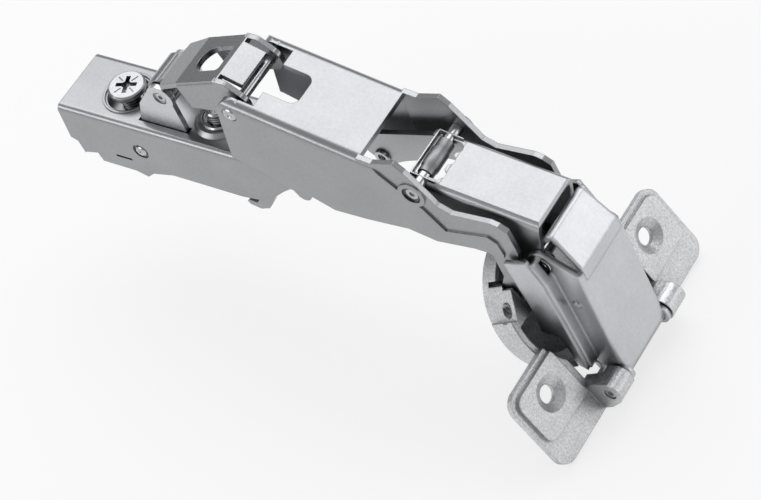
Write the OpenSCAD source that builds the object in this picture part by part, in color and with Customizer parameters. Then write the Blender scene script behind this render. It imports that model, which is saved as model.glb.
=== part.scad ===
// Concealed cup hinge, wide-angle folding type, shown opened about 150 degrees.
// Millimetres. X runs along the arm from its rear edge to the cup, Y across, Z up.
// Origin: middle of the arm's rear top edge, on the outer face of the top plate.

/* [Sheet] */
// thickness of the folded steel sheet
sheet = 1.3; // [1.1:0.05:1.35]
// play of a rivet or pin in its hole, on the radius
fit = 0.05; // [0.02:0.01:0.09]

/* [Cup] */
// diameter of the cup
cup_dia = 35; // [34.4:0.2:35.4]
// distance between the two wing screws
wing_pitch = 45; // [44:0.5:46]
// distance from the wing screw line to the cup centre
cup_offset = 9.5; // [9.2:0.1:9.8]
// depth of the cup below the top of the screw pads
cup_depth = 12; // [11.8:0.1:13]

/* [Arm] */
// length of the arm's closed top plate
arm_len = 65; // [60:1:66]
// radius of the head of the depth screw
head_r = 4.4; // [4:0.1:4.6]

/* [Hidden] */
$fn = 28;
// pivots in X and Z, read from the photo and fitted so that the linkage closes
A1 = [73.16, 2.47];
A2 = [31.15, 9.85];
A3 = [55.78, 17.86];
M = [98.45, 7.37];
C3 = [125.38, -6.98];
C2 = [116.70, -19.43];
C1 = [137.62, -37.89];
// outer half width of the arm, and of the channels that nest in it or ride outside it
arm_w = 8.8;
side_gap = 0.2;
inner_w = arm_w - sheet - side_gap;
ear_w = inner_w - sheet - 0.1;
tie_w = ear_w + sheet + side_gap;
front_w = inner_w + sheet + side_gap;
lever_w = arm_w + sheet + 0.15;
cheek_w = lever_w + 0.4;
strip_w = lever_w + 1.85;
// pin radii
pin_a = 1.5;
pin_c = 1.4;
pin_s = 1.25;
// cup frame: origin on the screw line, X toward the door's free end, Z out of the cup
cup_pos = [129.13, 0, -31.6];
cup_tilt = 60;
cup_r = cup_dia / 2;
steel = [0.80, 0.81, 0.83];
bright = [0.88, 0.88, 0.89];
cast = [0.72, 0.72, 0.72];
dark = [0.35, 0.36, 0.38];

// a plate lying in the X-Z plane between two values of Y
module slab(y0, y1)
    translate([0, y1, 0])
        rotate([90, 0, 0])
            linear_extrude(height = y1 - y0)
                children();

// the same plate on both sides
module cheeks(y0, y1) {
    slab(y0, y1) children();
    slab(-y1, -y0) children();
}

module disc(p, r)
    translate(p)
        circle(r = r);

// a bar from p to q with round ends, in 2-D
module bar(p, q, r) {
    a = atan2(q[1] - p[1], q[0] - p[0]);
    len = sqrt(pow(q[0] - p[0], 2) + pow(q[1] - p[1], 2));
    disc(p, r);
    disc(q, r);
    translate(p)
        rotate(a)
            translate([0, -r])
                square([len, 2 * r]);
}

// a round rod along Y
module rod(p, r, y0, y1)
    translate([p[0], y0, p[1]])
        rotate([-90, 0, 0])
            cylinder(h = y1 - y0, r = r);

// a rivet with a shallow dimple in each end
module rivet(p, r, half)
    difference() {
        rod(p, r, -half, half);
        rod(p, r * 0.45, half - 0.3, half + 1);
        rod(p, r * 0.45, -half - 1, 0.3 - half);
    }

// cross-section of a sheet folded down on both sides, top face at zero
module fold_section(w, t, ro, ri, d)
    difference() {
        union() {
            translate([-w, -d])
                square([2 * w, d - ro]);
            translate([ro - w, -d])
                square([2 * (w - ro), d]);
            disc([ro - w, -ro], ro);
            disc([w - ro, -ro], ro);
        }
        translate([t - w, -d - 1])
            square([2 * (w - t), d + 1 - t - ri]);
        translate([t + ri - w, -d - 1])
            square([2 * (w - t - ri), d + 1 - t]);
        disc([t + ri - w, -t - ri], ri);
        disc([w - t - ri, -t - ri], ri);
    }

module channel(w, t, ro, ri, d, len)
    rotate([90, 0, 90])
        linear_extrude(height = len)
            fold_section(w, t, ro, ri, d);

// pozi style cross recess, cut from z = 0 downward
module cross_recess(r, w, depth) {
    for (a = [0, 90])
        rotate(a)
            translate([-r, -w / 2, -depth])
                cube([2 * r, w, depth + 1]);
    translate([0, 0, -depth])
        cylinder(h = depth + 0.01, r1 = w * 0.55, r2 = w * 1.05);
}

module arm_side()
    polygon([[0, 1], [arm_len, 1], [66, -6.3], [63.1, -5.3], [60.3, -7.4], [56.5, -10.8],
        [52, -13.2], [47, -13.9], [28, -13.7], [21.8, -15.3], [19.7, -17.1], [16.6, -16.1],
        [7.2, -16.0], [6.5, -13.5], [2.9, -14.4], [2.4, -14.9], [1.7, -11.0], [0, -10.3]]);

module arm_nose() {
    polygon([[60, -7.2], [63.1, -5.3], [64.5, -7.6], [67.4, -7.4], [70.4, -0.8],
        [70.6, 5.8], [64.8, 0], [60, 0]]);
    disc([65.9, -6.2], 1.9);
    disc(A1, 4.1);
}

module arm_channel()
    color(steel)
        difference() {
            union() {
                intersection() {
                    channel(arm_w, sheet, 1.5, 0.3, 19, arm_len);
                    slab(-9, 9) arm_side();
                }
                cheeks(arm_w - sheet, arm_w) arm_nose();
                // dome pressed up round the side screw
                translate([40.2, 0, -0.8])
                    cylinder(h = 1.7, r1 = 6.9, r2 = 5.1);
                // turned-up rim of the depth screw's hole
                translate([14.8, 0, -0.4])
                    cylinder(h = 0.75, r = 6.1);
            }
            translate([14.8, 0, -2])
                cylinder(h = 4, r = 5.1);
            translate([14.8, 0, -0.1])
                cylinder(h = 2, r = 5.6);
            translate([40.2, 0, -3])
                cylinder(h = 6, r = 4.2 + fit);
            // slots for the ears
            for (s = [-1, 1])
                translate([21.6, s * (ear_w - sheet / 2) - sheet / 2 - side_gap, -2])
                    cube([13.8, sheet + 2 * side_gap, 3]);
            // thin slot in each cheek
            translate([12.4, -10, -12.6])
                cube([4.5, 20, 0.7]);
            rod([20.9, -8.1], pin_a + fit, -10, 10);
            rod([20.9, -8.1], 2.1, -arm_w - 1, 0.45 - arm_w);
            rod([20.9, -8.1], 2.1, arm_w - 0.45, arm_w + 1);
            rod(A1, pin_a + fit, -10, 10);
        }

module hook_side()
    polygon([[3.2, -1.5], [57, -1.5], [57.4, -7], [55.6, -11], [54.2, -14.6], [52.2, -17.6],
        [49.6, -18.7], [46.8, -18.1], [46.3, -17.2], [46.9, -16.6], [49, -16.9],
        [50, -15.6], [49, -14.2], [46.6, -12.4], [26, -12.2], [24.5, -11.8],
        [12, -11.8], [10, -7.6], [3.2, -7.2]]);

module inner_channel()
    color(steel)
        difference() {
            translate([0, 0, -2.95])
                intersection() {
                    channel(inner_w + 0.05, sheet, 1.4, 0.3, 20, 60);
                    translate([0, 0, 2.95])
                        slab(-9, 9) hook_side();
                }
            // threaded holes of the two screws
            translate([15.2, 0, -6])
                cylinder(h = 6, r = 2.6 + fit);
            translate([40.2, 0, -6])
                cylinder(h = 6, r = 2.55 + fit);
            rod([20.9, -8.1], pin_a + fit, -10, 10);
            // window over the catch
            translate([1, -5.2, -6])
                cube([5.5, 10.4, 6]);
        }

module ear_side() {
    polygon([[20.4, -3], [20.4, -1.6], [22.1, -1.6], [22.6, 1.2], [24.2, 6.2], [26.8, 9.6], [28.9, 12.2],
        [31.15, 12.5], [34.0, 9.85], [34.9, 0.4], [34.9, -1.6], [36.4, -1.6], [36.4, -3]]);
    disc(A2, 3.4);
}

module ear_bracket()
    color(steel)
        difference() {
            intersection() {
                translate([20.4, 0, -2.75])
                    rotate([180, 0, 0])
                        channel(ear_w, sheet, 1.4, 0.3, 20, 16);
                union() {
                    cheeks(3, 7) ear_side();
                    translate([20.4, -5, -3])
                        cube([16, 10, 1.35]);
                }
            }
            rod(A2, pin_s + fit, -8, 8);
            rod(A2, 1.75, -8, -5.5);
            rod(A2, 1.75, 5.5, 8);
        }

module ear_pin()
    color(bright)
        rivet(A2, pin_s, ear_w - 0.3);

module depth_screw()
    color(bright)
        translate([15.2, 0, 0])
            difference() {
                union() {
                    translate([0, 0, 1.7])
                        cylinder(h = 1.1, r = head_r);
                    translate([0, 0, 2.8])
                        cylinder(h = 0.3, r1 = head_r, r2 = head_r - 0.4);
                    translate([0, 0, 0.6])
                        cylinder(h = 1.1, r1 = 2.6, r2 = 3.6);
                    translate([0, 0, -10.5])
                        cylinder(h = 11.2, r = 2.6);
                    translate([0, 0, -11.3])
                        cylinder(h = 0.8, r1 = 1.8, r2 = 2.6);
                }
                translate([0, 0, 3.1])
                    rotate(20)
                        cross_recess(2.5, 1.0, 1.9);
            }

module side_screw()
    color(bright)
        translate([40.2, 0, 0])
            difference() {
                union() {
                    translate([0, 0, -9])
                        cylinder(h = 12.4, r = 2.55);
                    translate([0, 0, -9.7])
                        cylinder(h = 0.7, r1 = 1.9, r2 = 2.55);
                    translate([0, 0, 3.4])
                        cylinder(h = 0.4, r1 = 2.55, r2 = 2.15);
                }
                translate([0, 0, 3.8])
                    rotate(35)
                        cross_recess(1.6, 0.7, 1.5);
            }

module screw_bush()
    color(bright)
        translate([40.2, 0, 0])
            difference() {
                union() {
                    translate([0, 0, -1.4])
                        cylinder(h = 2.4, r = 4.2);
                    translate([0, 0, 1.0])
                        cylinder(h = 0.4, r1 = 4.2, r2 = 3.9);
                }
                translate([0, 0, -2])
                    cylinder(h = 5, r = 2.55 + fit);
                translate([0, 0, 0.5])
                    cylinder(h = 2, r = 3.3);
            }

module catch_side() {
    disc([20.9, -8.1], 3.0);
    polygon([[20.9, -5.1], [8, -5.6], [1.0, -6.6], [0.4, -9.8], [1.8, -13.6], [3.0, -16.0],
        [4.8, -15.6], [4.9, -12.6], [8.0, -11.2], [20.9, -11.1]]);
}

module release_catch()
    color(steel)
        difference() {
            union() {
                cheeks(4.6, 5.8) catch_side();
                // bridge and thumb rest across the rear
                slab(-5.8, 5.8)
                    polygon([[1.0, -6.6], [0.4, -9.8], [1.6, -9.9], [2.2, -7.6], [9, -6.6], [9, -5.5]]);
            }
            rod([20.9, -8.1], pin_a + fit, -8, 8);
        }

module catch_rivet()
    color(bright)
        rivet([20.9, -8.1], pin_a, arm_w - 0.3);

// half turns of wire, tilted left and right in turn, joined to a coil along Y
module coil(p, r, w, y0, turns, pitch) {
    tilt = atan(pitch / (4 * r));
    for (i = [0 : 2 * turns - 1])
        translate([p[0], y0 + pitch * (i + 0.5) / 2, p[1]])
            rotate([90, 0, 0])
                rotate([0, (i % 2 == 0 ? 1 : -1) * tilt, 0])
                    rotate(i % 2 == 0 ? 0 : 180)
                        rotate_extrude(angle = 180, $fn = 24)
                            translate([r, 0])
                                circle(r = w, $fn = 8);
}

module catch_spring()
    color(dark)
        union() {
            coil([20.9, -8.1], 2.2, 0.35, -3.2, 4, 0.75);
            rod([23.1, -8.1], 0.35, -3.6, -3.1);
        }

module lower_axle()
    color(bright)
        rivet(A1, pin_a, arm_w - 0.35);

module inner_side() {
    disc(A1, 4.1);
    disc(C3, 3.5);
    disc(M, 4.2);
    polygon([[73.5, 6.5], [77.0, 3.4], [79, 2.0], [94.5, 6.8], [97, 8.4], [125.8, 4.1], [128.0, 0.2],
        [128.7, -5.4], [122.6, -9.2], [112, -6.2], [104, -2.6], [97.5, 0.2], [91, -0.4],
        [88.7, -3.1], [84, -5.1], [80.7, -6.9], [77.9, -8.6], [74.2, -5.4], [71.6, -1.0]]);
}

module inner_lever()
    color(steel)
        difference() {
            union() {
                intersection() {
                    translate([96.6, 0, 8.55])
                        rotate([0, 8.5, 0])
                            channel(inner_w, sheet, 1.8, 0.5, 26, 30);
                    slab(-8, 8) inner_side();
                }
                cheeks(inner_w - sheet, inner_w)
                    intersection() {
                        inner_side();
                        polygon([[60, 12], [97.6, 6.9], [97.6, -12], [60, -12]]);
                    }
            }
            // window over the barrel, with a wavy edge toward the cup
            translate([96.0, -5.3, -1])
                cube([5.9, 10.6, 14]);
            for (y = [-3.6, 0.4, 3.9])
                translate([101.4, y, -1])
                    cylinder(h = 14, r = 1.4);
            rod(A1, pin_a + fit, -9, 9);
            rod(M, pin_a + fit, -9, 9);
            rod(C3, pin_a + fit, -9, 9);
            rod([77.9, -5.4], 1.2 + fit, -9, 9);
        }

module spring_stud()
    color(bright)
        rivet([77.9, -5.4], 1.2, inner_w - 0.2);

module closing_spring()
    color(dark)
        union() {
            coil(A1, 2.45, 0.45, -5.0, 4, 1.0);
            coil(A1, 2.45, 0.45, 1.0, 4, 1.0);
            rod([A1[0] + 2.45, A1[1]], 0.45, -1.3, 1.3);
        }

module rear_side() {
    polygon([[39.0, 19.4], [38.7, 13.9], [39.9, 11.8], [47.7, 13.2], [51.8, 13.6], [55.8, 14.7],
        [58.9, 18.6], [57.4, 20.8], [54.2, 23.0], [51.5, 24.6]]);
    disc(A3, 3.2);
}

module rear_strip() {
    polygon([[30.2, 13.3], [33.24, 15.45], [39.43, 18.72], [51.55, 23.43], [56.9, 21.55],
        [56.47, 20.3], [51.5, 22.0], [39.95, 17.5], [33.85, 14.25], [31.4, 12.3]]);
}

module rear_plan()
    union() {
        polygon([[26, -4.35], [33.3, -4.35], [33.6, -6.4], [39.6, -7.0], [39.6, 7.0],
            [33.6, 6.4], [33.3, 4.35], [26, 4.35]]);
        translate([39.5, -7.0])
            square([12.3, 14.0]);
        translate([51.7, -4.9])
            square([8, 9.8]);
    }

module rear_link()
    color(steel)
        difference() {
            union() {
                intersection() {
                    slab(-7.0, 7.0) rear_strip();
                    translate([0, 0, 2])
                        linear_extrude(height = 26)
                            rear_plan();
                }
                intersection() {
                    translate([39.43, 0, 18.72])
                        rotate([0, -21.24, 0])
                            channel(tie_w, sheet, 1.5, 0.3, 15, 13);
                    slab(-8, 8) rear_side();
                }
                // open eye curled round the ear pin
                rod([30.75, 10.15], 3.6, -4.35, 4.35);
                cheeks(tie_w - sheet, tie_w)
                    intersection() {
                        rear_side();
                        translate([50.9, 10])
                            square([12, 13.3]);
                    }
            }
            rod([30.75, 10.15], 2.3, -9, 9);
            rod(A3, pin_s + fit, -9, 9);
            // window with one round end
            translate([39.43, 0, 18.72])
                rotate([0, -21.24, 0])
                    translate([0, 0, -4])
                        linear_extrude(height = 8)
                            union() {
                                disc([6.2, 0], 3.7);
                                translate([6.2, -3.7])
                                    square([4.2, 7.4]);
                                bar([10.2, -2.7], [10.2, 2.7], 1.0);
                            }
        }

module top_pin()
    color(bright)
        rivet(A3, pin_s, cheek_w - 0.75);

// the cheek of the outer lever as far as the raised field reaches
module lever_field() {
    disc(A3, 3.2);
    polygon([[52.6, 17.4], [51.3, 2.8], [52.2, 2.6], [61.1, -0.7], [64.3, -2.8], [70.2, -3.4],
        [75.4, -5.8], [83.9, -5.6], [94.5, -4.7], [101.1, -6.2], [110.8, -4.9], [114.0, -5.0],
        [118.2, -5.4], [117.0, -1.0], [115.0, 0.3], [104.4, -1.8], [100.3, 3.7],
        [95.0, 8.3], [89.3, 13.6], [86.9, 14.6], [60.2, 20.6], [57.6, 20.7]]);
    disc(M, 3.2);
}

// the recessed upper band of the gooseneck and its leg down to the cup pin
module lever_band() {
    polygon([[86.5, 14.5], [90, 14], [95.9, 15.8], [98, 13.8], [102.8, 7.3], [104, 5.5],
        [107, 4.1], [116.4, 4.9], [118.3, 4.4], [120.2, 3.2], [121.4, -3.2], [120.3, -19.4], [113.6, -17.8],
        [115.6, -12.4], [114.6, -6.2], [114.0, -5.0], [110.8, -4.9], [101.1, -5.4], [94.5, -4.0], [86.5, 2.0]]);
    bar([114.6, -19.58], [116.9, -19.23], 3.5);
}

module outer_lever()
    color(steel)
        difference() {
            union() {
                difference() {
                    intersection() {
                        translate([50, 0, 22.386])
                            rotate([0, 12.1, 0])
                                channel(cheek_w, sheet, 2.2, 0.8, 40, 72);
                        slab(-11, 11) lever_field();
                    }
                    // the top plate ends where the cheeks run on as the gooseneck
                    translate([86.96, 0.25 - lever_w + sheet - 0.4, -8])
                        cube([40, 2 * (lever_w - sheet + 0.15), 24]);
                }
                cheeks(lever_w - sheet, lever_w) lever_band();
            }
            // free end of the top plate with its U notch
            translate([48, -8.2, 17.5])
                cube([13.2, 16.4, 12]);
            translate([55, -4.1, 10])
                cube([12.0, 8.2, 20]);
            for (s = [-1, 1])
                translate([66.9, s * 2.1, 10])
                    cylinder(h = 20, r = 2.0);
            translate([66.8, -2.1, 10])
                cube([2.1, 4.2, 20]);
            rod(A3, pin_s + fit, -12, 12);
            rod(A3, 1.8, -12, 0.8 - cheek_w);
            rod(A3, 1.8, cheek_w - 0.8, 12);
            rod(M, pin_a + fit, -12, 12);
            rod(M, 2.2, -12, 0.75 - cheek_w);
            rod(M, 2.2, cheek_w - 0.75, 12);
            // slot that rides round the cup pin
            cheeks(lever_w - sheet - 1, lever_w + 1)
                bar([114.6, -19.58], [116.9, -19.23], 2.35);
        }

module middle_axle()
    color(bright)
        rivet(M, pin_a, cheek_w - 0.45);

module axle_barrel()
    color(bright)
        difference() {
            union() {
                rod(M, 2.35, -5.2, 5.2);
                rod(M, 2.75, -5.2, -3.9);
                rod(M, 2.75, 3.9, 5.2);
            }
            rod(M, pin_a + fit, -9, 9);
        }

module front_link()
    color(steel)
        difference() {
            union() {
                // top strip over the front rivets
                intersection() {
                    slab(-7.6, 7.6)
                        polygon([[128.6, 1.46], [129.0, 0.96], [134.39, -5.97], [135.2, -9],
                            [133.8, -9], [133.2, -6.3], [128.0, 0.2], [126.9, -1.2],
                            [126.0, -0.6], [127.4, 1.3]]);
                    translate([120, 0, -12])
                        linear_extrude(height = 20)
                            polygon([[0, -7.0], [9, -7.0], [15.5, -7.65], [15.5, 7.65], [9, 7.0], [0, 7.0]]);
                }
                // back plate with both cheeks folded from it
                intersection() {
                    translate([133.63, 0, -1.03])
                        rotate([0, 81.3, 0])
                            channel(front_w, sheet, 1.4, 0.3, 26, 37.2);
                    slab(-9, 9) {
                        disc(C3, 3.5);
                        polygon([[122.2, -8.6], [125.4, -3.5], [128.2, -4.6], [133.7, -7.4], [137, -5.2],
                            [141, -37.9], [135.0, -37.4], [129.6, -34.9], [124.6, -28.5], [122.0, -18.8],
                            [121.6, -10.2]]);
                    }
                }
                // offset strips that run outside the gooseneck
                cheeks(strip_w - 1.2, strip_w)
                    polygon([[118.3, -5.2], [120.9, -4.4], [124.0, -3.3], [126.6, -9.0], [131.6, -35.4],
                        [129.6, -34.6], [126.8, -26.0], [122.4, -26.2], [122.0, -19.4]]);
                // step wall between the panel and the strip
                cheeks(front_w - 0.9, strip_w - 0.4)
                    polygon([[124.3, -4.3], [125.2, -4.3], [127.6, -9.2], [132.4, -34.6], [130.9, -34.8],
                        [126.2, -9.2]]);
                cheeks(front_w - 1.0, front_w + 0.1)
                    disc(C1, 2.5);
                cheeks(front_w - 0.4, front_w + 0.35)
                    disc([131.3, -17.2], 0.9);
            }
            rod(C3, pin_a + fit, -9, 9);
            rod(C3, 2.1, -front_w - 1, 0.35 - front_w);
            rod(C3, 2.1, front_w - 0.35, front_w + 1);
            rod(C1, pin_c + fit, -12, 12);
        }

module front_rivets()
    color(bright)
        for (s = [-1, 1])
            difference() {
                rod(C3, pin_a, s > 0 ? front_w - 3 : 0.3 - front_w, s > 0 ? front_w - 0.3 : 3 - front_w);
                rod(C3, 0.6, s > 0 ? front_w - 0.6 : -12, s > 0 ? 12 : 0.6 - front_w);
            }

module wing(s) {
    // border plate
    translate([0, 0, -2.4])
        linear_extrude(height = 1.5)
            wing_plan(s, [-7, 13.8], [13.5, 32], 3.6);
    // raised screw pad
    translate([0, 0, -1.4])
        linear_extrude(height = 1.4)
            wing_plan(s, [-5.7, 7.2], [15.5, 30.7], 2.6);
}

module wing_plan(s, v, y, r) {
    a = s > 0 ? y[0] : -y[1];
    b = s > 0 ? y[1] : -y[0];
    q = s > 0 ? b - r : a + r;
    translate([v[0], s > 0 ? a : a + r])
        square([v[1] - v[0], b - a - r]);
    translate([v[0] + r, a])
        square([v[1] - v[0] - 2 * r, b - a]);
    disc([v[0] + r, q], r);
    disc([v[1] - r, q], r);
}

module knuckle(y0, y1)
    slab(y0, y1)
        union() {
            disc([9.69, 4.21], 2.9);
            polygon([[6.3, -1.5], [6.3, 2.2], [7.1, 5.6], [8.6, 6.9], [11.2, 6.7], [12.4, 5.2],
                [13.4, 2.0], [13.4, -1.5]]);
        }

module cup()
    color(cast)
        translate(cup_pos)
            rotate([0, cup_tilt, 0])
                difference() {
                    union() {
                        translate([-cup_offset, 0, -9])
                            cylinder(h = 6.4, r = cup_r, $fn = 64);
                        // shallow groove under the wings, so that they lie flat on the door
                        translate([-cup_offset, 0, -2.8])
                            cylinder(h = 0.6, r = cup_r - 0.25, $fn = 64);
                        translate([-cup_offset, 0, -cup_depth])
                            cylinder(h = cup_depth - 9, r1 = cup_r - 2.4, r2 = cup_r, $fn = 64);
                        for (s = [-1, 1])
                            wing(s);
                        knuckle(front_w + 0.4, front_w + 6);
                        knuckle(-front_w - 6, -front_w - 0.4);
                        // bridge under the knuckles
                        translate([6.3, -14.8, -2.4])
                            cube([7.1, 29.6, 1.6]);
                    }
                    // hollow, with a thick block left on each side of the slot for the gooseneck
                    difference() {
                        union() {
                            translate([-cup_offset, 0, -8.6])
                                cylinder(h = 12, r = cup_r - 1.3, $fn = 64);
                            translate([-cup_offset, 0, 1.2 - cup_depth])
                                cylinder(h = 2.21, r1 = cup_r - 3.2, r2 = cup_r - 1.3, $fn = 64);
                        }
                        for (s = [-1, 1])
                            translate([-22, s > 0 ? lever_w + 0.45 : -lever_w - 7.45, -cup_depth])
                                cube([8.6, 7, cup_depth - 2.2]);
                    }
                    // flat pads outside, where the cup pin is pressed in
                    for (s = [-1, 1])
                        translate([-cup_offset, 0, -13])
                            rotate(s * 125.7)
                                translate([cup_r - 2.0, -4.5, 0])
                                    cube([8, 9, 12]);
                    // screw holes with countersinks
                    for (s = [-1, 1])
                        translate([0, s * wing_pitch / 2, 0]) {
                            translate([0, 0, -4])
                                cylinder(h = 6, r = 2.05);
                            translate([0, 0, -1.3])
                                cylinder(h = 1.31, r1 = 2.05, r2 = 4.05);
                        }
                    // pin holes
                    translate([-16.75, 0, -4.7])
                        rotate([90, 0, 0])
                            cylinder(h = 50, r = pin_a - 0.1 + fit, center = true);
                    translate([9.69, 0, 4.21])
                        rotate([90, 0, 0])
                            cylinder(h = 50, r = pin_c + fit, center = true);
                    // low rear rim, where the gooseneck comes in
                    translate([-cup_offset - cup_r - 1, -lever_w - 1.05, -4.8])
                        cube([7.8, 2 * lever_w + 2.1, 6]);
                    // relief in the front wall for the folded gooseneck
                    for (s = [-1, 1])
                        translate([0, s * (lever_w - 0.5) - 1.7, -8.2])
                            cube([8.3, 3.4, 10.9]);
                    translate([6.2, -9.1, -1.2])
                        cube([8, 18.2, 4]);
                }

module knuckle_pin()
    color(bright)
        rivet(C1, pin_c, front_w + 5.7);

module cup_pin()
    color(bright)
        rivet(C2, pin_a - 0.1, cup_r - 4.1);

arm_channel();
inner_channel();
ear_bracket();
ear_pin();
depth_screw();
side_screw();
screw_bush();
release_catch();
catch_rivet();
catch_spring();
lower_axle();
inner_lever();
spring_stud();
closing_spring();
outer_lever();
middle_axle();
axle_barrel();
top_pin();
rear_link();
front_link();
front_rivets();
cup();
knuckle_pin();
cup_pin();
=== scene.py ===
import bpy, bmesh, math
from mathutils import Matrix, Quaternion, Vector


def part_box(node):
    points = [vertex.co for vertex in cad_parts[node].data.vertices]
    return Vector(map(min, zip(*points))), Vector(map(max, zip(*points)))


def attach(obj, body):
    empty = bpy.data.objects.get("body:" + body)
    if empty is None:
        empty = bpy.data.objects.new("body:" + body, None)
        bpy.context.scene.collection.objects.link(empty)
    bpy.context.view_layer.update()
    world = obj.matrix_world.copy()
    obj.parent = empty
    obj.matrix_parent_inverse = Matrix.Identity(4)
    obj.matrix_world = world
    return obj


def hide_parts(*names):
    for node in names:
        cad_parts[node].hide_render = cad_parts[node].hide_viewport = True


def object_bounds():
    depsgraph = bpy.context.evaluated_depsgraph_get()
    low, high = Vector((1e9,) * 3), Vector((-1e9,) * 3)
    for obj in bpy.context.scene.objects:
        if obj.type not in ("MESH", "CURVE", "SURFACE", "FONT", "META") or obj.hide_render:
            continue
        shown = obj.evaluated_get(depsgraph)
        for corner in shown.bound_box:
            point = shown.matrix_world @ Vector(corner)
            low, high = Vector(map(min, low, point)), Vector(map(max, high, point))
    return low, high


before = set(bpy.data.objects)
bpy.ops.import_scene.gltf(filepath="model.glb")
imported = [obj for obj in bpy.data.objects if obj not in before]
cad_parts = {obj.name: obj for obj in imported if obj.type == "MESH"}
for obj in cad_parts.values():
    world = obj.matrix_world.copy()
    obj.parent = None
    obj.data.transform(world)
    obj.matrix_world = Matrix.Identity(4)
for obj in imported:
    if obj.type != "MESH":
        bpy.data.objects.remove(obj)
cad_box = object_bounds()
scene = bpy.context.scene
scene.view_settings.view_transform = "Standard"


# Studio floor
# The hinge stands on a plain pale table that runs out of sight on all sides.
# It is one flat sheet, a little below the lowest point of the cup. Its own
# glow, seen by the camera and in reflections only, makes it pale.
floor_half_width = 3.0
floor_under_cup = 0.0004
floor_below_hinge = (0.07, 0.0, cad_box[0].z - floor_under_cup)
floor_glow = 0.74
floor_shape = bmesh.new()
bmesh.ops.create_grid(floor_shape, x_segments=4, y_segments=4, size=floor_half_width)
bmesh.ops.translate(floor_shape, verts=floor_shape.verts, vec=floor_below_hinge)
floor_mesh = bpy.data.meshes.new("studio_floor")
floor_shape.to_mesh(floor_mesh)
floor_shape.free()
studio_floor = bpy.data.objects.new("studio_floor", floor_mesh)
scene.collection.objects.link(studio_floor)
floor_paint = bpy.data.materials.new("matt_white_floor")
floor_paint.use_nodes = True
floor_nodes = floor_paint.node_tree.nodes
floor_links = floor_paint.node_tree.links
floor_nodes["Principled BSDF"].inputs["Roughness"].default_value = 1.0
floor_nodes["Principled BSDF"].inputs["Specular IOR Level"].default_value = 0.0
floor_place = floor_nodes.new("ShaderNodeTexCoord")
floor_cloud = floor_nodes.new("ShaderNodeTexNoise")
floor_cloud.inputs["Scale"].default_value = 3.0
floor_tint = floor_nodes.new("ShaderNodeMixRGB")
floor_tint.inputs[1].default_value = (0.90, 0.90, 0.90, 1)
floor_tint.inputs[2].default_value = (0.93, 0.93, 0.93, 1)
floor_links.new(floor_place.outputs["Object"], floor_cloud.inputs["Vector"])
floor_links.new(floor_cloud.outputs["Fac"], floor_tint.inputs[0])
floor_links.new(floor_tint.outputs[0], floor_nodes["Principled BSDF"].inputs["Base Color"])
floor_ray = floor_nodes.new("ShaderNodeLightPath")
floor_seen = floor_nodes.new("ShaderNodeMath")
floor_seen.operation = "MAXIMUM"
floor_links.new(floor_ray.outputs["Is Camera Ray"], floor_seen.inputs[0])
floor_links.new(floor_ray.outputs["Is Glossy Ray"], floor_seen.inputs[1])
floor_seen_through = floor_nodes.new("ShaderNodeMath")
floor_seen_through.operation = "MAXIMUM"
floor_links.new(floor_seen.outputs[0], floor_seen_through.inputs[0])
floor_links.new(floor_ray.outputs["Is Transmission Ray"], floor_seen_through.inputs[1])
floor_share = floor_nodes.new("ShaderNodeMath")
floor_share.operation = "MULTIPLY"
floor_share.inputs[1].default_value = floor_glow
floor_links.new(floor_seen_through.outputs[0], floor_share.inputs[0])
floor_white = floor_nodes.new("ShaderNodeEmission")
floor_white.inputs["Color"].default_value = (1, 1, 1, 1)
floor_mix = floor_nodes.new("ShaderNodeMixShader")
floor_links.new(floor_share.outputs[0], floor_mix.inputs[0])
floor_links.new(floor_nodes["Principled BSDF"].outputs[0], floor_mix.inputs[1])
floor_links.new(floor_white.outputs[0], floor_mix.inputs[2])
floor_links.new(floor_mix.outputs[0], floor_nodes["Material Output"].inputs["Surface"])
floor_mesh.materials.append(floor_paint)


# Studio light
# An even room, a little brighter above, with three softboxes: a large one over
# and behind the hinge, a small low one beyond the cup, a strip at the near left.
light_from_below = 0.34
light_from_above = 0.52
room = bpy.data.worlds.new("studio_room")
scene.world = room
room.use_nodes = True
room_nodes = room.node_tree.nodes
room_links = room.node_tree.links
look = room_nodes.new("ShaderNodeTexCoord")
split = room_nodes.new("ShaderNodeSeparateXYZ")
room_links.new(look.outputs["Generated"], split.inputs[0])
height_ramp = room_nodes.new("ShaderNodeMapRange")
height_ramp.interpolation_type = "SMOOTHSTEP"
height_ramp.inputs["From Min"].default_value = -0.1
height_ramp.inputs["From Max"].default_value = 0.9
height_ramp.inputs["To Min"].default_value = light_from_below
height_ramp.inputs["To Max"].default_value = light_from_above
room_links.new(split.outputs["Z"], height_ramp.inputs["Value"])
room_links.new(height_ramp.outputs[0], room_nodes["Background"].inputs["Strength"])
room_nodes["Background"].inputs["Color"].default_value = (0.985, 0.99, 1.0, 1)

for lamp_name, place, aim, width, height, power in (
    ("ceiling_softbox", (-0.14, 0.38, 0.67), (0.05, 0.0, 0.0), 1.12, 0.50, 3.6),
    ("far_softbox", (0.71, 0.34, 0.17), (0.13, 0.0, -0.02), 0.36, 0.34, 0.6),
    ("near_left_strip", (-0.30, -0.52, 0.30), (0.05, 0.0, -0.01), 0.60, 0.22, 1.1),
):
    lamp_data = bpy.data.lights.new(lamp_name, "AREA")
    lamp_data.shape = "RECTANGLE"
    lamp_data.size = width
    lamp_data.size_y = height
    lamp_data.energy = power
    lamp = bpy.data.objects.new(lamp_name, lamp_data)
    lamp.location = place
    lamp.rotation_mode = "QUATERNION"
    lamp.rotation_quaternion = (Vector(aim) - Vector(place)).to_track_quat("-Z", "Y")
    scene.collection.objects.link(lamp)


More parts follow.
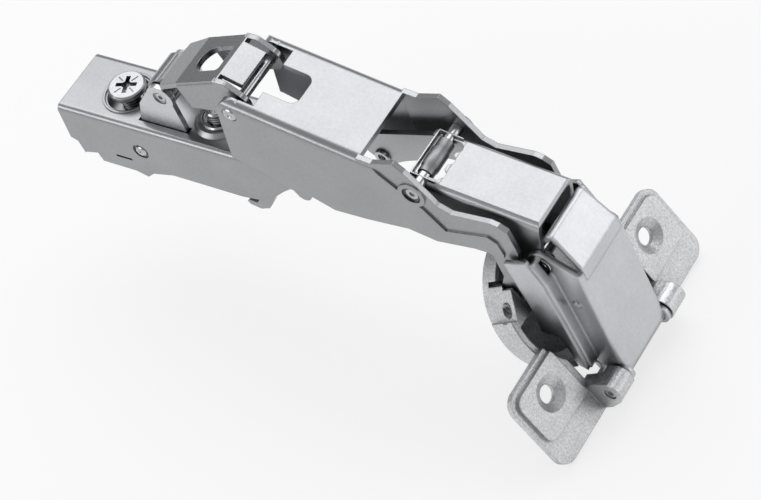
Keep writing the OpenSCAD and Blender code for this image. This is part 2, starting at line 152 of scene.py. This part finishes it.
# Camera
# A long lens looks down along the hinge from the cup's right, rolled so that
# the arm runs from upper left to lower right. Its angles, distance and aim
# were fitted to the photograph.
camera_data = bpy.data.cameras.new("photo_camera")
camera_data.sensor_width = 36.0
camera_data.clip_start = 0.05
camera_data.clip_end = 20.0
camera = bpy.data.objects.new("photo_camera", camera_data)
scene.collection.objects.link(camera)
camera_lens = 138.33
camera_elevation = math.radians(47.115)
camera_heading = math.radians(-42.972)
camera_roll = math.radians(-21.554)
camera_distance = 0.6035
camera_aim = Vector((0.09473, -0.02067, 0.0))
camera_back = Vector((math.cos(camera_elevation) * math.cos(camera_heading),
                      math.cos(camera_elevation) * math.sin(camera_heading), math.sin(camera_elevation)))
camera_data.lens = camera_lens
camera.rotation_mode = "QUATERNION"
camera.rotation_quaternion = camera_back.to_track_quat("Z", "Y") @ Quaternion((0, 0, 1), camera_roll)
camera.location = camera_aim + camera_distance * camera_back
scene.camera = camera


# Arm channel
# The arm is folded from 1.3 mm cold-rolled strip, nickel plated after
# pressing. The satin grain of the strip runs along it under the plating.
steel_tint = (0.985, 1.0, 1.035)
tone_swing = 0.22


def plated_steel(name, tone, rough, grain=(40, 900, 900), edge=0.00022, reach=0.0035, painted_shade_min=0.52):
    metal = bpy.data.materials.new(name)
    metal.use_nodes = True
    nodes = metal.node_tree.nodes
    links = metal.node_tree.links
    skin = nodes["Principled BSDF"]
    skin.inputs["Metallic"].default_value = 1.0
    where = nodes.new("ShaderNodeTexCoord")
    stretch = nodes.new("ShaderNodeMapping")
    stretch.inputs["Scale"].default_value = grain
    links.new(where.outputs["Object"], stretch.inputs["Vector"])
    lines = nodes.new("ShaderNodeTexNoise")
    lines.inputs["Scale"].default_value = 6.0
    lines.inputs["Detail"].default_value = 4.0
    links.new(stretch.outputs["Vector"], lines.inputs["Vector"])
    cloud = nodes.new("ShaderNodeTexNoise")
    cloud.inputs["Scale"].default_value = 90.0
    cloud.inputs["Detail"].default_value = 3.0
    links.new(where.outputs["Object"], cloud.inputs["Vector"])
    rolled = nodes.new("ShaderNodeTexNoise")
    rolled.inputs["Scale"].default_value = 1500.0
    rolled.inputs["Detail"].default_value = 2.0
    links.new(where.outputs["Object"], rolled.inputs["Vector"])
    mottle = nodes.new("ShaderNodeMath")
    mottle.operation = "ADD"
    links.new(cloud.outputs["Fac"], mottle.inputs[0])
    links.new(rolled.outputs["Fac"], mottle.inputs[1])
    shade = nodes.new("ShaderNodeMixRGB")
    shade.inputs[1].default_value = tuple(tone * (1 - tone_swing) * c for c in steel_tint) + (1,)
    shade.inputs[2].default_value = tuple(tone * (1 + tone_swing) * c for c in steel_tint) + (1,)
    halfway = nodes.new("ShaderNodeMath")
    halfway.operation = "MULTIPLY"
    halfway.inputs[1].default_value = 0.5
    links.new(mottle.outputs[0], halfway.inputs[0])
    links.new(halfway.outputs[0], shade.inputs[0])
    # Painted shade: ambient occlusion darkens the base colour in creases, recesses and between parts, down
    # to the given minimum share of the tone.
    corner = nodes.new("ShaderNodeAmbientOcclusion")
    corner.samples = 5
    corner.inputs["Distance"].default_value = reach
    painted_crease_shade = nodes.new("ShaderNodeMapRange")
    painted_crease_shade.inputs["From Min"].default_value = 0.15
    painted_crease_shade.inputs["From Max"].default_value = 0.85
    painted_crease_shade.inputs["To Min"].default_value = painted_shade_min
    links.new(corner.outputs["AO"], painted_crease_shade.inputs["Value"])
    tone_with_painted_shade = nodes.new("ShaderNodeMixRGB")
    tone_with_painted_shade.blend_type = "MULTIPLY"
    tone_with_painted_shade.inputs[0].default_value = 1.0
    links.new(shade.outputs[0], tone_with_painted_shade.inputs[1])
    links.new(painted_crease_shade.outputs[0], tone_with_painted_shade.inputs[2])
    links.new(tone_with_painted_shade.outputs[0], skin.inputs["Base Color"])
    gloss = nodes.new("ShaderNodeMapRange")
    gloss.inputs["To Min"].default_value = rough - 0.05
    gloss.inputs["To Max"].default_value = rough + 0.07
    links.new(lines.outputs["Fac"], gloss.inputs["Value"])
    links.new(gloss.outputs[0], skin.inputs["Roughness"])
    rounded = nodes.new("ShaderNodeBevel")
    rounded.samples = 6
    rounded.inputs["Radius"].default_value = edge
    relief = nodes.new("ShaderNodeBump")
    relief.inputs["Strength"].default_value = 0.07
    relief.inputs["Distance"].default_value = 0.00002
    links.new(rounded.outputs[0], relief.inputs["Normal"])
    links.new(lines.outputs["Fac"], relief.inputs["Height"])
    links.new(relief.outputs[0], skin.inputs["Normal"])
    return metal


def dress(node, metal):
    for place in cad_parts[node].material_slots:
        place.material = metal


dress("arm_channel", plated_steel("arm_satin_nickel", 0.345, 0.30))


# Inner channel
# The carriage inside the arm: a second folded channel that slides on the
# depth screw. Its front hooks catch the mounting plate.
dress("inner_channel", plated_steel("inner_channel_nickel", 0.36, 0.34))


# Ear bracket
# Two ears stand up through slots in the arm and carry the rear link's pin.
# One bent piece of the same strip.
dress("ear_bracket", plated_steel("ear_bracket_nickel", 0.58, 0.28, grain=(900, 900, 60)))


# Ear pin and lower axle
# Turned steel pins, nickel plated bright, pressed through the arm's ears and
# cheeks. Fine tool rings run round them, and the ends are dimpled.
pin_finish = plated_steel("turned_pin_nickel", 0.50, 0.22, grain=(60, 1500, 60), edge=0.00014)
for turned in ("ear_pin", "lower_axle"):
    dress(turned, pin_finish)


# Catch rivet
# The small rivet on which the release catch swings. Its turned head sits in
# a round recess of the arm's cheek, with a dark gap round it.
pin_facets = 48


def axis_of(node):
    lo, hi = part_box(node)
    return ((lo.x + hi.x) / 2, (lo.z + hi.z) / 2)


def spun_pin(name, node, body, centre, outline, finish, both_sides=False):
    pin = bmesh.new()
    chain = [pin.verts.new((centre[0] + r, y, centre[1])) for r, y in outline]
    for one, two in zip(chain, chain[1:]):
        pin.edges.new((one, two))
    bmesh.ops.spin(pin, geom=pin.verts[:] + pin.edges[:], cent=(centre[0], 0, centre[1]),
                   axis=(0, 1, 0), dvec=(0, 0, 0), angle=2 * math.pi, steps=pin_facets, use_merge=True)
    bmesh.ops.remove_doubles(pin, verts=pin.verts, dist=2e-6)
    if both_sides:
        twin = bmesh.ops.duplicate(pin, geom=pin.verts[:] + pin.edges[:] + pin.faces[:])
        twin_points = [v for v in twin["geom"] if isinstance(v, bmesh.types.BMVert)]
        bmesh.ops.scale(pin, verts=twin_points, vec=(1, -1, 1))
    bmesh.ops.recalc_face_normals(pin, faces=pin.faces[:])
    for face in pin.faces:
        face.smooth = True
    for edge in pin.edges:
        edge.smooth = len(edge.link_faces) == 2 and edge.calc_face_angle(0) < math.radians(34)
    mesh = bpy.data.meshes.new(name)
    pin.to_mesh(mesh)
    pin.free()
    piece = bpy.data.objects.new(name, mesh)
    scene.collection.objects.link(piece)
    mesh.materials.append(finish)
    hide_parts(node)
    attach(piece, body)


def riveted_outline(shank, head, start, end, dimple):
    half = ((0.0, end - 0.00025), (dimple * 0.7, end - 0.00025), (dimple, end - 0.00002),
            (dimple + 0.0002, end), (head - 0.0003, end), (head, end - 0.00025), (head, start),
            (shank, start))
    return [(r, -y) for r, y in half] + [(r, y) for r, y in reversed(half)]


spun_pin("catch_rivet_turned", "catch_rivet", "arm", axis_of("catch_rivet"),
         riveted_outline(shank=0.0011, head=0.00145, start=0.0083, end=0.0089, dimple=0.0006), pin_finish)


# Spring studs
# Turned steel studs with hollow ring heads, riveted in the inner lever's
# cheeks. The photograph shows the far one's head; that there are two, and what
# they hold, is a guess.
spun_pin("spring_studs_hollow", "spring_stud", "inner", axis_of("spring_stud"),
         [(0.0, 0.0058), (0.0008, 0.0058), (0.00095, 0.0053), (0.0013, 0.00515), (0.00175, 0.00525),
          (0.0019, 0.0055), (0.0019, 0.00595), (0.00118, 0.006), (0.00118, 0.0071), (0.0, 0.0071)],
         pin_finish, both_sides=True)


# Screw bush
# A nut plate pressed into the arm's top, threaded for the side screw. Its
# rim is rolled in rings round the hole.
dress("screw_bush", plated_steel("pressed_bush_nickel", 0.46, 0.22, grain=(60, 60, 1500), edge=0.00018))


# Top pin
# It joins the rear link to the outer lever. Both ends are riveted over to
# flat heads, which fill the recesses in the lever's cheeks.
spun_pin("top_pin_riveted", "top_pin", "outer", axis_of("top_pin"),
         riveted_outline(shank=0.00125, head=0.00172, start=0.0099, end=0.01082, dimple=0.0008), pin_finish)


# Middle axle and its bush
# The crossing point of the scissor. The axle is riveted in the outer lever,
# and a dull sintered bush with a swollen middle turns on it in the window.
dress("middle_axle", pin_finish)
spun_pin("axle_bush", "axle_barrel", "outer", axis_of("middle_axle"),
         [(0.00155, -0.0047), (0.00185, -0.0046), (0.00185, -0.0031), (0.00205, -0.0027), (0.00205, 0.0019),
          (0.00185, 0.0023), (0.00185, 0.0046), (0.00155, 0.0047), (0.00155, -0.0047)],
         plated_steel("sintered_bush", 0.30, 0.42, grain=(400, 400, 400), edge=0.00014))


# Axle saddle
# A thin pressed steel frame over the axle, at the end of the inner lever's top
# plate. It is seen in the photograph, and the solids have no such piece.
saddle_length = 0.0066
saddle_width = 0.0127
saddle_rim = 0.00055
saddle_depth = 0.0016
saddle_end = 0.0026
saddle_edge = 0.00012
saddle_tilt = math.radians(12)
saddle_place = (0.0994, 0, 0.00875)
saddle = bmesh.new()
bmesh.ops.create_grid(saddle, x_segments=1, y_segments=1, size=0.5)
bmesh.ops.scale(saddle, verts=saddle.verts, vec=(saddle_length, saddle_width, 1))
bmesh.ops.inset_region(saddle, faces=saddle.faces[:], thickness=saddle_rim, use_boundary=True)
middle = min(saddle.faces, key=lambda face: face.calc_center_median().length)
bmesh.ops.delete(saddle, geom=[middle], context="FACES_ONLY")
raised = bmesh.ops.extrude_face_region(saddle, geom=saddle.faces[:])
bmesh.ops.translate(saddle, verts=[v for v in raised["geom"] if isinstance(v, bmesh.types.BMVert)],
                    vec=(0, 0, -saddle_depth))
bmesh.ops.recalc_face_normals(saddle, faces=saddle.faces[:])
bmesh.ops.bisect_plane(saddle, geom=saddle.verts[:] + saddle.edges[:] + saddle.faces[:],
                       plane_co=(saddle_end, 0, 0), plane_no=(1, 0, 0), clear_outer=True)
bmesh.ops.holes_fill(saddle, edges=[e for e in saddle.edges if e.is_boundary], sides=0)
bmesh.ops.bevel(saddle, geom=saddle.edges[:], affect="EDGES", offset=saddle_edge, segments=2,
                profile=0.5, material=-1)
bmesh.ops.rotate(saddle, verts=saddle.verts, cent=(0, 0, 0), matrix=Matrix.Rotation(saddle_tilt, 3, "Y"))
bmesh.ops.translate(saddle, verts=saddle.verts, vec=saddle_place)
bmesh.ops.recalc_face_normals(saddle, faces=saddle.faces[:])
saddle_mesh = bpy.data.meshes.new("axle_saddle")
saddle.to_mesh(saddle_mesh)
saddle.free()
axle_saddle = bpy.data.objects.new("axle_saddle", saddle_mesh)
scene.collection.objects.link(axle_saddle)
saddle_mesh.materials.append(plated_steel("saddle_nickel", 0.46, 0.26))
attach(axle_saddle, "inner")


# Front rivets
# Two short rivets hold the front link on the inner lever's cheeks. They end
# flush, so that the goosenecks can pass outside them.
spun_pin("front_rivets_set", "front_rivets", "inner", axis_of("front_rivets"),
         [(0.0, 0.0058), (0.0015, 0.0058), (0.0015, 0.00848), (0.00205, 0.0085), (0.00205, 0.0087),
          (0.0019, 0.00886), (0.0013, 0.00886), (0.0012, 0.0087), (0.0009, 0.0087), (0.0008, 0.0088),
          (0.0, 0.0088)], plated_steel("rivet_nickel", 0.60, 0.24, grain=(60, 1500, 60), edge=0.0001),
         both_sides=True)


# Cup pin and knuckle pin
# The cup pin is pressed through the cup's wall for the goosenecks, and the
# knuckle pin through the two knuckles for the front link.
for turned in ("knuckle_pin", "cup_pin"):
    dress(turned, pin_finish)


# Depth screw
# A machine screw with a broad flat head and a cross recess with four short
# marks. It holds the carriage to the arm, so its thread stands in both.
thread_facets = 28
nick_out = (0.00235, 0, 0)
nick_size = (0.0017, 0.00024, 0.00028, 1)


def machine_screw(name, node, body, keep_above, crest, pitch, low, marks):
    screw = bmesh.new()
    screw.from_mesh(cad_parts[node].data)
    bmesh.ops.remove_doubles(screw, verts=screw.verts, dist=2e-6)
    lo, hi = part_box(node)
    centre = Vector(((lo.x + hi.x) / 2, (lo.y + hi.y) / 2, 0.0))
    bmesh.ops.bisect_plane(screw, geom=screw.verts[:] + screw.edges[:] + screw.faces[:],
                           plane_co=(0, 0, keep_above), plane_no=(0, 0, 1), clear_inner=True)
    bmesh.ops.holes_fill(screw, edges=[e for e in screw.edges if e.is_boundary], sides=0)
    thread = bmesh.new()
    root = crest - 0.58 * pitch
    start = low - pitch
    tooth = ((root, 0.0), (root, 0.12), (crest, 0.48), (crest, 0.60), (root, 0.96), (root, 1.0))
    chain = [thread.verts.new((centre.x + r, centre.y, start + z * pitch)) for r, z in tooth]
    for one, two in zip(chain, chain[1:]):
        thread.edges.new((one, two))
    turns = math.ceil((keep_above - low) / pitch) + 2
    bmesh.ops.spin(thread, geom=thread.verts[:] + thread.edges[:], cent=centre, axis=(0, 0, 1),
                   dvec=(0, 0, pitch / thread_facets), angle=2 * math.pi * turns,
                   steps=thread_facets * turns, use_merge=False)
    bmesh.ops.remove_doubles(thread, verts=thread.verts, dist=2e-6)
    for level, up in ((low, -1), (keep_above + 0.0001, 1)):
        bmesh.ops.bisect_plane(thread, geom=thread.verts[:] + thread.edges[:] + thread.faces[:],
                               plane_co=(0, 0, level), plane_no=(0, 0, up), clear_outer=True)
        rim = [e for e in thread.edges
               if e.is_boundary and all(abs(v.co.z - level) < 1e-6 for v in e.verts)]
        bmesh.ops.holes_fill(thread, edges=rim, sides=0)
    bmesh.ops.recalc_face_normals(thread, faces=thread.faces[:])
    thread_mesh = bpy.data.meshes.new(name + "_thread")
    thread.to_mesh(thread_mesh)
    thread.free()
    mesh = bpy.data.meshes.new(name)
    screw.to_mesh(mesh)
    screw.free()
    head = bpy.data.objects.new(name, mesh)
    scene.collection.objects.link(head)
    if marks:
        nicks = bmesh.new()
        for quarter in range(4):
            turn = Matrix.Rotation(math.radians(65 + 90 * quarter), 4, "Z")
            spot = Matrix.Translation(centre + Vector((0, 0, hi.z))) @ turn @ Matrix.Translation(nick_out)
            bmesh.ops.create_cube(nicks, size=1.0, matrix=spot @ Matrix.Diagonal(nick_size))
        nick_mesh = bpy.data.meshes.new(name + "_nicks")
        nicks.to_mesh(nick_mesh)
        nicks.free()
        nick_cutter = bpy.data.objects.new(name + "_nicks", nick_mesh)
        scene.collection.objects.link(nick_cutter)
        cutting = head.modifiers.new("marks", "BOOLEAN")
        cutting.object = nick_cutter
        cutting.solver = "EXACT"
        bpy.context.view_layer.update()
        shaped = bpy.data.meshes.new_from_object(head.evaluated_get(bpy.context.evaluated_depsgraph_get()))
        head.modifiers.clear()
        head.data = shaped
        bpy.data.objects.remove(nick_cutter)
    whole = bmesh.new()
    whole.from_mesh(head.data)
    whole.from_mesh(thread_mesh)
    for face in whole.faces:
        face.smooth = True
    for edge in whole.edges:
        edge.smooth = len(edge.link_faces) == 2 and edge.calc_face_angle(0) < math.radians(32)
    whole.to_mesh(head.data)
    whole.free()
    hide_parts(node)
    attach(head, body)
    return head


screw_finish = plated_steel("screw_nickel", 0.37, 0.20, grain=(60, 60, 1500), edge=0.00016)
depth_screw = machine_screw("depth_screw_threaded", "depth_screw", "depth_adjuster",
                            keep_above=0.00168, crest=0.0026, pitch=0.0008, low=-0.0113, marks=True)
depth_screw.data.materials.append(screw_finish)


# Side screw
# The headless screw that shifts the arm sideways. Its thread shows all the
# way up in the pressed dome, and it has a smaller cross recess.
side_screw = machine_screw("side_screw_threaded", "side_screw", "side_adjuster",
                           keep_above=0.0031, crest=0.00255, pitch=0.0008, low=-0.0097, marks=False)
side_screw.data.materials.append(screw_finish)


# Release catch
# The sprung catch at the arm's rear end, a small folded piece on its own
# rivet, with a thumb rest under the arm.
dress("release_catch", plated_steel("catch_nickel", 0.34, 0.34))


# Springs
# Wound from oiled spring wire: a small one under the catch, and the closing
# spring in two halves round the lower axle with a straight part between.
turn_facets = 26


def wound_wire(name, node, body, coils, radius, wire, pitch, straight, finish):
    spring = bmesh.new()
    for axle, begin, turns in coils:
        made = bmesh.ops.create_circle(spring, cap_ends=False, segments=10, radius=wire,
                                       matrix=Matrix.Translation(axle + Vector((radius, begin, 0))))
        ring = made["verts"] + list({e for v in made["verts"] for e in v.link_edges})
        bmesh.ops.spin(spring, geom=ring, cent=axle, axis=(0, 1, 0), dvec=(0, pitch / turn_facets, 0),
                       angle=2 * math.pi * turns, steps=turn_facets * turns, use_merge=False)
    if straight:
        axle, begin, end = straight
        middle_of_wire = Matrix.Translation(axle + Vector((radius, (begin + end) / 2, 0)))
        lay = middle_of_wire @ Matrix.Rotation(math.pi / 2, 4, "X")
        bmesh.ops.create_cone(spring, cap_ends=True, segments=10, radius1=wire, radius2=wire,
                              depth=end - begin, matrix=lay)
    bmesh.ops.holes_fill(spring, edges=[e for e in spring.edges if e.is_boundary], sides=0)
    bmesh.ops.recalc_face_normals(spring, faces=spring.faces[:])
    for face in spring.faces:
        face.smooth = len(face.verts) == 4
    mesh = bpy.data.meshes.new(name)
    spring.to_mesh(mesh)
    spring.free()
    piece = bpy.data.objects.new(name, mesh)
    scene.collection.objects.link(piece)
    mesh.materials.append(finish)
    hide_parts(node)
    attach(piece, body)


spring_finish = plated_steel("oiled_spring_wire", 0.22, 0.24, grain=(900, 900, 900), edge=0.00005)
catch_x, catch_z = axis_of("catch_rivet")
catch_axle = Vector((catch_x, 0, catch_z))
wound_wire("catch_spring_wound", "catch_spring", "arm", [(catch_axle, -0.0032, 4)],
           radius=0.0022, wire=0.00035, pitch=0.00075, straight=(catch_axle, -0.0036, -0.0031),
           finish=spring_finish)
lower_x, lower_z = axis_of("lower_axle")
lower_axle_place = Vector((lower_x, 0, lower_z))
wound_wire("closing_spring_wound", "closing_spring", "arm",
           [(lower_axle_place, -0.0050, 4), (lower_axle_place, 0.0010, 4)],
           radius=0.00245, wire=0.00045, pitch=0.0010, straight=(lower_axle_place, -0.0013, 0.0013),
           finish=spring_finish)


# Rear link
# A short bridge from the ears to the outer lever: one strip with an eye
# rolled round the ear pin, a window and a bright polished tab at the front.
dress("rear_link", plated_steel("rear_link_nickel", 0.33, 0.26))


# Outer lever
# The long cover of the scissor. A wide channel with a notched end, whose
# cheeks step inwards and run on as the two goosenecks down into the cup.
dress("outer_lever", plated_steel("outer_lever_nickel", 0.35, 0.30))


# Inner lever
# The other half of the scissor, a narrower channel that crosses the outer
# lever at the barrel and carries the front link on two short rivets.
dress("inner_lever", plated_steel("inner_lever_nickel", 0.40, 0.36))


# Front link
# A deep folded cover with a plain plate toward the door, two cheeks with a
# pressed panel, and an offset strip along the front of each gooseneck.
# The front link's painted shade reaches further and goes darker, to darken its pressed panel and the
# insides of its cheeks.
dress("front_link", plated_steel("front_link_nickel", 0.57, 0.32, grain=(40, 900, 40), edge=0.0009,
                                 reach=0.011, painted_shade_min=0.34))


# Cup
# Cup, wings and knuckles are one zinc die-casting, nickel plated straight
# over the blasted skin, so the faces have a fine bright grain.
cast_zinc = bpy.data.materials.new("cast_zinc_nickel")
cast_zinc.use_nodes = True
cast_nodes = cast_zinc.node_tree.nodes
cast_links = cast_zinc.node_tree.links
cast_nodes["Principled BSDF"].inputs["Metallic"].default_value = 1.0
cast_place = cast_nodes.new("ShaderNodeTexCoord")
grain = cast_nodes.new("ShaderNodeTexNoise")
grain.inputs["Scale"].default_value = 2300.0
grain.inputs["Detail"].default_value = 3.0
pits = cast_nodes.new("ShaderNodeTexVoronoi")
pits.inputs["Scale"].default_value = 1900.0
blotch = cast_nodes.new("ShaderNodeTexNoise")
blotch.inputs["Scale"].default_value = 260.0
blotch.inputs["Detail"].default_value = 4.0
for pattern in (grain, pits, blotch):
    cast_links.new(cast_place.outputs["Object"], pattern.inputs["Vector"])
cast_shade = cast_nodes.new("ShaderNodeMixRGB")
cast_shade.inputs[1].default_value = (0.55, 0.555, 0.57, 1)
cast_shade.inputs[2].default_value = (0.70, 0.705, 0.72, 1)
cast_links.new(blotch.outputs["Fac"], cast_shade.inputs[0])
speckle = cast_nodes.new("ShaderNodeMapRange")
speckle.inputs["From Min"].default_value = 0.32
speckle.inputs["From Max"].default_value = 0.68
speckle.inputs["To Min"].default_value = 0.78
speckle.inputs["To Max"].default_value = 1.18
cast_links.new(grain.outputs["Fac"], speckle.inputs["Value"])
# Painted shade: ambient occlusion darkens the cast's base colour in hollows and next to other parts, down
# to 0.30 of the tone.
cast_corner = cast_nodes.new("ShaderNodeAmbientOcclusion")
cast_corner.samples = 5
cast_corner.inputs["Distance"].default_value = 0.008
cast_painted_shade = cast_nodes.new("ShaderNodeMapRange")
cast_painted_shade.inputs["From Min"].default_value = 0.15
cast_painted_shade.inputs["From Max"].default_value = 0.85
cast_painted_shade.inputs["To Min"].default_value = 0.30
cast_links.new(cast_corner.outputs["AO"], cast_painted_shade.inputs["Value"])
cast_tone = cast_shade.outputs[0]
for layer in (speckle, cast_painted_shade):
    over = cast_nodes.new("ShaderNodeMixRGB")
    over.blend_type = "MULTIPLY"
    over.inputs[0].default_value = 1.0
    cast_links.new(cast_tone, over.inputs[1])
    cast_links.new(layer.outputs[0], over.inputs[2])
    cast_tone = over.outputs[0]
cast_links.new(cast_tone, cast_nodes["Principled BSDF"].inputs["Base Color"])
cast_gloss = cast_nodes.new("ShaderNodeMapRange")
cast_gloss.inputs["To Min"].default_value = 0.32
cast_gloss.inputs["To Max"].default_value = 0.52
cast_links.new(grain.outputs["Fac"], cast_gloss.inputs["Value"])
cast_links.new(cast_gloss.outputs[0], cast_nodes["Principled BSDF"].inputs["Roughness"])
cast_round = cast_nodes.new("ShaderNodeBevel")
cast_round.samples = 6
cast_round.inputs["Radius"].default_value = 0.00035
cast_pits = cast_nodes.new("ShaderNodeBump")
cast_pits.inputs["Strength"].default_value = 0.4
cast_pits.inputs["Distance"].default_value = 0.00009
cast_links.new(cast_round.outputs[0], cast_pits.inputs["Normal"])
cast_links.new(pits.outputs["Distance"], cast_pits.inputs["Height"])
cast_grain = cast_nodes.new("ShaderNodeBump")
cast_grain.inputs["Strength"].default_value = 0.6
cast_grain.inputs["Distance"].default_value = 0.00009
cast_links.new(cast_pits.outputs[0], cast_grain.inputs["Normal"])
cast_links.new(grain.outputs["Fac"], cast_grain.inputs["Height"])
cast_links.new(cast_grain.outputs[0], cast_nodes["Principled BSDF"].inputs["Normal"])
dress("cup", cast_zinc)
